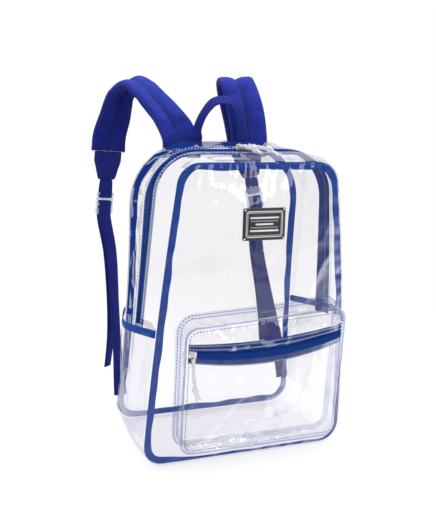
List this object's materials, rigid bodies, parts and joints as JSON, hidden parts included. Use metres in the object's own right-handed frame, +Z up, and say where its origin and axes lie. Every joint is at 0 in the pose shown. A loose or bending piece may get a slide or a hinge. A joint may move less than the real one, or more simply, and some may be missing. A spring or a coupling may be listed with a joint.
{
  "type": "clear backpack",
  "caption": "Clear vinyl backpack with a zipped main compartment, a zipped front pocket, open side pockets, padded shoulder straps and a haul loop.",
  "frame": {"origin": "on the floor, at the middle of the flat base", "axes": "+Z up, -Y out of the front panel, +X to the right of someone who looks at the front"},
  "size_m": [0.3464, 0.3029, 0.523],
  "materials": {
    "clear_vinyl": "clear soft vinyl sheet, glossy and slightly creased",
    "binding": "royal blue woven binding tape, edge stitched",
    "zip_tape": "blue woven zip tape with pale stitching",
    "zip_coil": "dark blue nylon zip coil",
    "strap_fabric": "blue-violet woven polyester over foam, quilted along its middle",
    "webbing": "navy ribbed webbing",
    "adjuster": "milky white moulded plastic",
    "badge": "black moulded rubber with a silver raised frame and bars",
    "slider": "bright plated zip slider",
    "pull_cord": "white braided cord, knotted"
  },
  "bodies": {
    "root": {"front_panel": "clear_vinyl", "back_panel": "clear_vinyl", "gusset_front": "clear_vinyl", "gusset_back": "clear_vinyl", "gusset_base": "clear_vinyl", "side_pocket_left": "clear_vinyl", "side_pocket_right": "clear_vinyl", "pocket_gusset": "clear_vinyl", "pocket_flange": "clear_vinyl", "pocket_face_lower": "clear_vinyl", "pocket_face_upper": "clear_vinyl", "pocket_piping": "clear_vinyl", "front_seam_binding": "binding", "back_seam_binding": "binding", "side_pocket_binding_left": "binding", "side_pocket_binding_right": "binding", "main_zip_tape_front": "zip_tape", "main_zip_tape_back": "zip_tape", "pocket_zip_tape_lower": "zip_tape", "pocket_zip_tape_upper": "zip_tape", "main_zip_coil": "zip_coil", "pocket_zip_coil": "zip_coil", "badge": "badge", "shoulder_strap_left": "strap_fabric", "shoulder_strap_right": "strap_fabric", "strap_patch_left": "strap_fabric", "strap_patch_right": "strap_fabric", "strap_webbing_left": "webbing", "strap_webbing_right": "webbing", "lower_webbing_left": "webbing", "lower_webbing_right": "webbing", "haul_loop": "webbing", "strap_adjuster_left": "adjuster", "strap_adjuster_right": "adjuster", "pocket_slider": "slider", "main_slider_left": "slider", "main_slider_right": "slider", "pull_cord_pocket": "pull_cord", "pull_knot_pocket": "pull_cord", "pull_cord_left": "pull_cord", "pull_knot_left": "pull_cord", "pull_cord_right": "pull_cord", "pull_knot_right": "pull_cord"}
  },
  "joints": []
}
